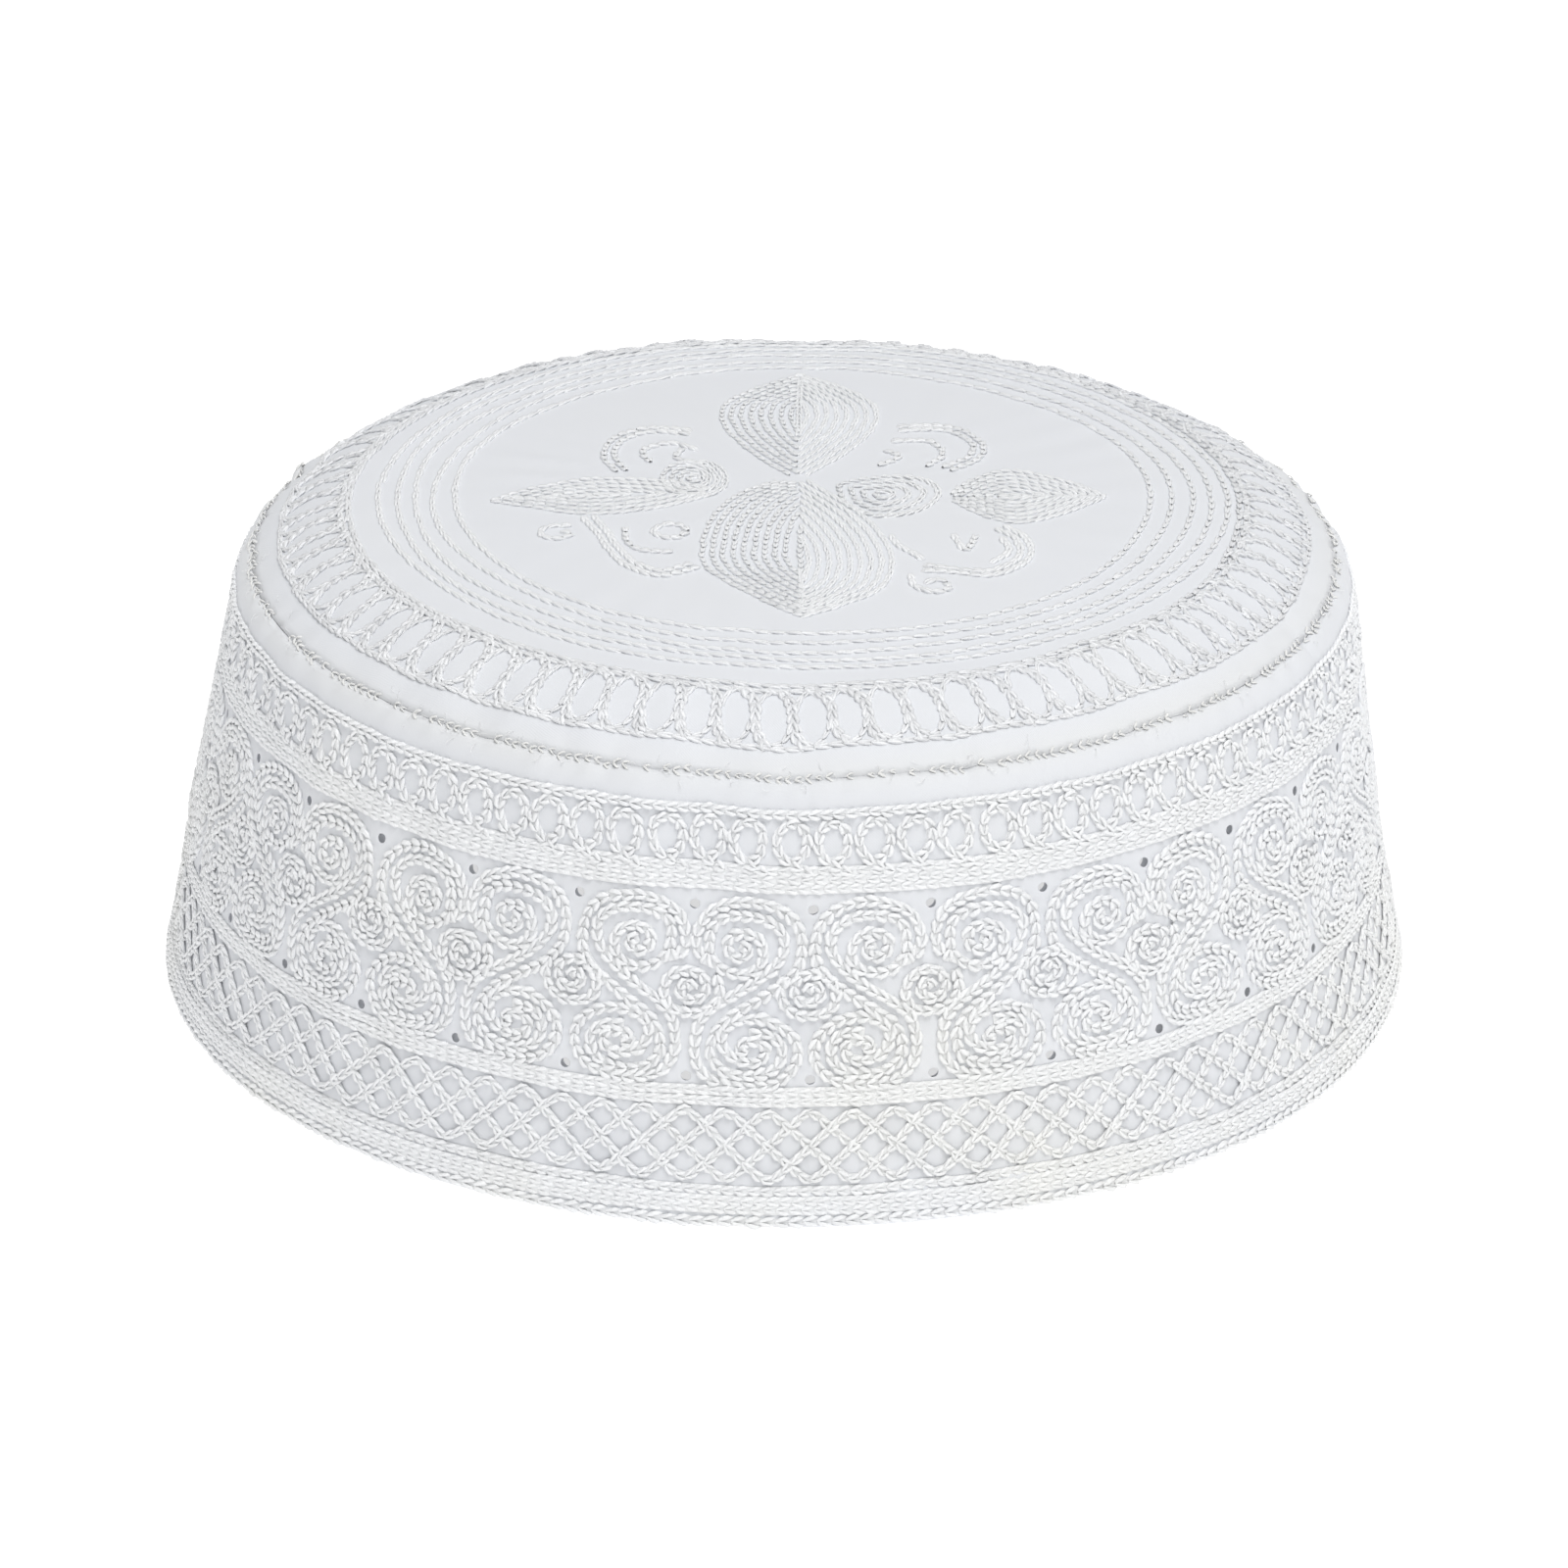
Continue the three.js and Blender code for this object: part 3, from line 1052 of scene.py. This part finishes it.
# Tendrils between the petals: rows side by side, and the path in millimetres
tendrils = [
    (2, [
        (-28.7, -7.9), (-26.2, -14.4), (-23.7, -22.3), (-21.2, -26.3),
        (-18.3, -28.4), (-15.1, -27.3), (-12.6, -25.2),
    ]),
    (1, [(-16.1, -20.9), (-20.5, -20.2), (-22.6, -17.3), (-23.3, -11.9)]),
    (1, [
        (-14, -13.3), (-15.2, -11.2), (-17.6, -11.1), (-19, -13.3),
        (-17.8, -15.5), (-15.4, -15.6), (-14, -13.6),
    ]),
    (1, [(-31, -11), (-34.4, -11.6), (-35.4, -14.4), (-33, -16), (-31, -14.4), (-32.4, -12.8)]),
    (2, [
        (31.4, -10.5), (34.3, -14.4), (35, -19.8), (33.2, -24.1),
        (29.6, -27), (24.6, -26.6), (19.9, -25.9),
    ]),
    (1, [(31.7, -14.4), (32.5, -19.4), (29.9, -23.4)]),
    (1, [(24.6, -13.7), (26.4, -19.1), (28.1, -13.7)]),
    (1, [(15.6, -14.4), (16.6, -18), (20.2, -22.7)]),
    (1, [(18, -28.5), (19, -32.5), (21.8, -34.4), (23.8, -32.2), (22.2, -30), (20.2, -31.2)]),
    (2, [(-24, 9.5), (-26, 15), (-25, 22), (-20, 26), (-14, 25)]),
    (1, [(-20, 13), (-21, 18), (-17, 20.5), (-13, 18)]),
    (1, [(-12, 12), (-16, 14.5), (-15, 18.5)]),
    (2, [(24, 11), (28, 16), (28.5, 22), (24, 27.5), (17, 27)]),
    (1, [(21, 12), (23.5, 17), (21.5, 22), (16, 22)]),
    (1, [(14, 12), (17, 15.5), (15, 18.5)]),
]
tendrilLook = {"apart": 1.5, "stitch": {**rope, "width": 1.2, "pitch": 1.7}}


def besides(path, offset):
    ahead = np.gradient(path, axis=0)
    ahead /= np.hypot(ahead[:, 0], ahead[:, 1])[:, None]
    return path + np.stack([-ahead[:, 1], ahead[:, 0]], -1) * offset


tendrilRows = Rows(onCrown, (0.4, 0.4))
for rowCount, corners in tendrils:
    path = smoothPath(corners)
    for offset in np.arange(rowCount) - (rowCount - 1) / 2:
        tendrilRows.add(besides(path, offset * tendrilLook["apart"]), **tendrilLook["stitch"])
tendrilRows.build("tendrils")

# Seam between crown and side
seamLook = {
    "width": 1.1,
    "pitch": 1.45,
    "height": 0.26,
    "loose": 0.4,
    "sway": 0.15,
    "missing": 0.2,
    "core": None,
    "leg": [
        (0.1, 0.02, 0.5, 0.09), (0.32, 0.2, 0.9, 0.15),
        (0.54, 0.38, 0.6, 0.14), (0.76, 0.5, -0.2, 0.08),
    ],
}
seamRow = Rows(onSeam)
seamRow.add(roundBand(seamLength, 0.1, 11), closed=True, **seamLook)
seamRow.build("seamStitch", seamThread)

# Fine fibres that have worked loose along the seam
fibreLook = {
    "count": 380,
    "thickness": 0.035,
    "reach": (0.5, 2.2),
    "spread": 1.6,
    "bend": 1.1,
    "foot": 0.1,
    "lift": 0.4,
    "rings": 6,
}


def buildFibres():
    count = fibreLook["count"]
    rings = fibreLook["rings"]
    turn = dice.uniform(-180, 180, count)
    length = seamLength + dice.normal(0, fibreLook["spread"] / 2, count)
    heading = dice.uniform(0, 2 * np.pi, count)
    bend = dice.normal(0, fibreLook["bend"], count)
    reach = dice.uniform(*fibreLook["reach"], count)
    share = np.linspace(0, 1, rings)
    angle = heading[:, None] + bend[:, None] * share
    heading = np.stack([np.cos(angle), np.sin(angle)], -1)
    gone = np.cumsum(heading, axis=1) * (reach / rings)[:, None, None]
    perDegree = math.radians(1) * form["seamRadius"]
    turns = turn[:, None] + gone[..., 0] / perDegree
    lengths = length[:, None] + gone[..., 1]
    arc = share * np.pi * dice.uniform(0.5, 1, count)[:, None]
    middle = capPoint(turns, lengths, fibreLook["foot"] + fibreLook["lift"] * np.sin(arc))
    run = unit(np.gradient(middle, axis=1))
    across = np.cross(run, [0, 0, 1.0])
    across /= np.linalg.norm(across, axis=-1)[..., None] + 1e-6
    top = np.cross(across, run)
    around = np.array([90, 210, 330]) * math.pi / 180
    ring = across[..., None, :] * np.cos(around)[:, None] + top[..., None, :] * np.sin(around)[:, None]
    points = (middle[..., None, :] + ring * fibreLook["thickness"]).reshape(-1, 3)
    hair, level, side = (a.ravel() for a in np.mgrid[0:count, 0:rings - 1, 0:3])
    first = hair * rings * 3 + level * 3
    after = (side + 1) % 3
    faces = np.stack([first + side, first + after, first + 3 + after, first + 3 + side], -1)
    values = {"ply": np.zeros_like(points), "tone": np.full(len(points), 0.5)}
    return makeMesh("looseFibres", points, faces, values)


place(buildFibres(), silkThread)

# Ovals under the shoulder
sideOval = {
    "count": 90,
    "middle": 55.1,
    "middleRadius": 82.8,
    "hook": [
        (2.7, -4.3), (0.7, -3.5), (-1.2, -2.2), (-2.15, 0), (-1.7, 1.9),
        (0, 2.9), (1.7, 1.9), (2.15, 0), (1.6, -1.9), (0.1, -2.8),
    ],
    "turnJitter": 0.12,
    "shapeJitter": 0.04,
    "stitch": {"width": 1.55, "pitch": 1.65, "height": 0.34},
    "top": 59.3,
    "topWave": 0.12,
    "topWidth": 1.5,
}
sideOvals = Rows(onBand)
for k in range(sideOval["count"]):
    turn = 360 * (k + 0.5) / sideOval["count"] + dice.normal(0, sideOval["turnJitter"])
    across = math.radians(1) * sideOval["middleRadius"]
    hook = np.array(sideOval["hook"])
    oval = smoothPath(hook * (1 + dice.normal(0, sideOval["shapeJitter"], hook.shape)))
    oval[:, 0] = turn + oval[:, 0] / across
    oval[:, 1] += sideOval["middle"]
    sideOvals.add(oval, **sideOval["stitch"])
topRow = roundBand(sideOval["top"], sideOval["topWave"], 9)
sideOvals.add(topRow, closed=True, width=sideOval["topWidth"])
sideOvals.build("sideOvals")

# Plain rows round the side
ruleLook = {
    "heights": (51.1, 49.8, 48.5, 19.5, 18.1),
    "wave": 0.12,
    "stitch": {**filled, "width": 1.45, "pitch": 1.8},
}
ruleRows = Rows(onBand)
for i, height in enumerate(ruleLook["heights"]):
    path = roundBand(height, ruleLook["wave"], 6 + i, i)
    ruleRows.add(path, closed=True, **ruleLook["stitch"])
ruleRows.build("ruleRows")

# Scrolls: rows of one column, in millimetres from its middle, and heights
scroll = {
    "columns": 32,
    "firstEdge": -87.7,
    "middleRadius": 86.45,
    "jitter": 0.25,
    "riseJitter": 0.15,
    "rowJitter": 0.08,
    "leftDrift": -0.7,
    "stitch": {"width": 1.75, "pitch": 1.7},
    "outer": [
        (6.4, 38.2), (7.3, 40), (7.2, 42), (5.5, 44.9), (0.8, 46.6), (-3.2, 46.2),
        (-5.8, 44.9), (-7.4, 42.4), (-7.6, 39), (-6.5, 36.6), (-4.4, 34.6), (-1.5, 32.6),
        (1.6, 30.6), (3.6, 28.6), (4.5, 26.6), (4.5, 24.6), (3, 22.7), (0.4, 22),
        (-2.2, 22.2), (-4.4, 23.2), (-5.3, 25.2), (-4.8, 27), (-3, 28.1), (-0.6, 28),
    ],
    "inner": [
        (5.7, 37.3), (5.2, 39.6), (5.1, 42.3), (3.4, 44.1), (0, 44.6), (-3.2, 44),
        (-5.2, 42.2), (-5.4, 39.9), (-4.2, 37.8), (-1.8, 35.5), (1.6, 33.2), (4.4, 31.3),
        (6.1, 29.2), (6.6, 27.2), (6.5, 24.4), (4.9, 21.7), (1.2, 20.6), (-3.2, 20.8),
        (-6, 22), (-7.6, 24.6), (-7.3, 27), (-5.4, 29), (-2.6, 30.1), (0.4, 29.9),
        (2.4, 28.6), (2.9, 26.9), (2.3, 25.4), (0.6, 24.2), (-1.6, 23.9), (-3.2, 24.8),
        (-3.2, 26.2), (-1.7, 26.9), (0.2, 26.6), (0.4, 25.6), (-0.8, 25.3),
    ],
    "curl": [
        (5, 38.7), (3.6, 37), (1, 36.3), (-1.5, 37.1), (-2.6, 39), (-2, 41.2), (0.2, 42.2),
        (2.3, 41.4), (2.7, 39.8), (1.4, 38.6), (-0.2, 39), (-0.3, 40.3), (0.9, 40.4),
    ],
}
columnTurn = 360 / scroll["columns"]


def onColumn(points, middle, flip):
    points = np.array(points, float)
    perMillimetre = 180 / math.pi / scroll["middleRadius"]
    points[:, 0] = middle + points[:, 0] * (-1 if flip else 1) * perMillimetre
    return points


scrolls = Rows(onBand)
for k in range(scroll["columns"]):
    middle = scroll["firstEdge"] + columnTurn * (k + 0.5)
    flip = k % 2 == 1
    drift = (scroll["leftDrift"] if flip else 0.0) + dice.normal(0, scroll["jitter"])
    middle += drift * 180 / math.pi / scroll["middleRadius"]
    rise = dice.normal(0, scroll["riseJitter"])
    for key in ("outer", "inner", "curl"):
        points = smoothPath(scroll[key])
        points += dice.normal(0, scroll["rowJitter"], 2)
        points[:, 1] += rise
        if key == "inner":
            points = points[::-1]
        scrolls.add(onColumn(points, middle, flip), **scroll["stitch"])
scrolls.build("scrolls")

# Small curls where the columns meet
smallCurl = {
    "path": [
        (-3.4, 35.9), (-3.9, 33.4), (-2.7, 31.2), (0.1, 30.3), (2.9, 31), (3.9, 33.2),
        (3.2, 35.3), (1.1, 36.3), (-1.2, 35.8), (-2.1, 34.2), (-1.4, 32.6), (0.3, 32.1),
        (1.7, 33.1), (1.4, 34.5), (0.1, 34.5), (-0.1, 33.6),
    ],
    "stitch": {"width": 1.65, "pitch": 1.6, "lift": 0.12},
    "turnJitter": 0.15,
    "jitter": 0.12,
}
smallCurls = Rows(onBand)
for k in range(scroll["columns"]):
    middle = scroll["firstEdge"] + columnTurn * k + dice.normal(0, smallCurl["turnJitter"])
    points = smoothPath(smallCurl["path"]) + dice.normal(0, smallCurl["jitter"], 2)
    smallCurls.add(onColumn(points, middle, k % 2 == 1), **smallCurl["stitch"])
smallCurls.build("smallCurls")

# Lattice above the hem: four zigzag rows, each turning every second tip
latticeLook = {
    "tips": 96,
    "rows": 4,
    "top": 16.6,
    "bottom": 7.0,
    "firstTip": -87.7,
    "sharpness": 0.965,
    "stitch": {"width": 1.35, "pitch": 1.75, "height": 0.25},
    "lift": 0.05,
    "liftPerRow": 0.07,
}
lattice = Rows(onBand)
for row in range(latticeLook["rows"]):
    turn = np.linspace(0, 360, 2881)
    tipStep = 360 / latticeLook["tips"]
    phase = (turn / (latticeLook["rows"] * tipStep) + row / latticeLook["rows"]) * 2 * np.pi
    sharpness = latticeLook["sharpness"]
    wave = np.arcsin(sharpness * np.cos(phase)) / np.arcsin(sharpness)
    middle = (latticeLook["top"] + latticeLook["bottom"]) / 2
    height = middle + wave * (latticeLook["top"] - latticeLook["bottom"]) / 2
    path = np.stack([latticeLook["firstTip"] + turn, height], -1)
    lift = latticeLook["lift"] + latticeLook["liftPerRow"] * row
    lattice.add(path, closed=True, lift=lift, **latticeLook["stitch"])
lattice.build("lattice")

# Rows along the hem, and a heavier one at its very edge
hemLook = {
    "heights": (5.4, 4.0, 2.7),
    "topFade": (4.3, 5.4),
    "bottomFade": (0, 0.7),
    "wave": 0.08,
    "waves": 8,
    "stitch": {**filled, "width": 1.5, "pitch": 1.8},
    "edgeHeight": 1.05,
    "edgeStitch": {"width": 1.7, "pitch": 2.0, "flat": 0.7, "height": 0.32},
}


def onHem(spot):
    height = spot[..., 1]
    above = 1 - smoothstep(height, *hemLook["topFade"])
    proud = hemCloth["proud"] * above * smoothstep(height, *hemLook["bottomFade"])
    return capPoint(spot[..., 0], height * wallPerHeight, proud)


hemRows = Rows(onHem, (0.3, 0.2))
for height in hemLook["heights"]:
    path = roundBand(height, hemLook["wave"], hemLook["waves"], height)
    hemRows.add(path, closed=True, **hemLook["stitch"])
edge = roundBand(hemLook["edgeHeight"], hemLook["wave"], hemLook["waves"])
hemRows.add(edge, closed=True, **hemLook["edgeStitch"])
hemRows.build("hemRows")
print("embroidery laid")

# Camera, lights and a pale floor that glows like a light table
shot = {"at": (0.0, -1.00961, 0.49384), "tilt": 65.12, "lens": 170.64, "sensor": 36}
camera = bpy.data.objects.new("camera", bpy.data.cameras.new("camera"))
bpy.context.scene.collection.objects.link(camera)
bpy.context.scene.camera = camera
camera.location = shot["at"]
camera.rotation_euler = (math.radians(shot["tilt"]), 0, 0)
camera.data.lens = shot["lens"]
camera.data.sensor_width = shot["sensor"]
camera.data.clip_start = 0.05
camera.data.clip_end = 40

studio = {
    "sky": (1.0, 1.0, 1.0, 1),
    "skyStrength": 0.40,
    "key": {"at": (0.26, -0.62, 1.5), "size": 0.9, "watts": 15.6},
    "fill": {"at": (0.2, 0.5, 1.7), "size": 1.2, "watts": 4.0},
    "aimHeight": 0.04,
    "floorSize": 12.0,
    "floor": (0.2, 0.2, 0.2, 1),
    "floorGlow": 1.12,
    "glowFrom": 0.088,
    "glowEdge": 0.004,
    "glowUnder": 0.6,
}

world = bpy.data.worlds.new("studio")
world.use_nodes = True
setInputs(world.node_tree.nodes["Background"], {
    "Color": studio["sky"],
    "Strength": studio["skyStrength"],
})
bpy.context.scene.world = world
bpy.context.scene.view_settings.view_transform = "Standard"

for name in ("key", "fill"):
    light = bpy.data.objects.new(name, bpy.data.lights.new(name, "AREA"))
    bpy.context.scene.collection.objects.link(light)
    light.location = studio[name]["at"]
    light.data.size = studio[name]["size"]
    light.data.energy = studio[name]["watts"]
    away = light.location.copy()
    away.z -= studio["aimHeight"]
    light.rotation_euler = away.to_track_quat("Z", "Y").to_euler()

half = studio["floorSize"] / 2 / toMetres
floorCorners = [(-half, -half, 0), (half, -half, 0), (half, half, 0), (-half, half, 0)]
floor = makeMesh("floor", floorCorners, [(0, 1, 2, 3)], smooth=False)
floorMaterial = bpy.data.materials.new("paleFloor")
floorMaterial.use_nodes = True
floorShader = floorMaterial.node_tree.nodes["Principled BSDF"]
setInputs(floorShader, {
    "Base Color": studio["floor"],
    "Roughness": 0.9,
    "Emission Color": (1, 1, 1, 1),
})
floorTree = floorMaterial.node_tree
fromMiddle = floorTree.nodes.new("ShaderNodeVectorMath")
fromMiddle.operation = "LENGTH"
floorTree.links.new(floorTree.nodes.new("ShaderNodeTexCoord").outputs["Object"], fromMiddle.inputs[0])
glowStarts = studio["glowFrom"] - studio["glowEdge"]
reach = fromMiddle.outputs["Value"]
glow = addRange(floorTree, reach, glowStarts, studio["glowFrom"], studio["glowUnder"], studio["floorGlow"])
floorTree.links.new(glow, floorShader.inputs["Emission Strength"])
floor.data.materials.append(floorMaterial)
print("stage set")
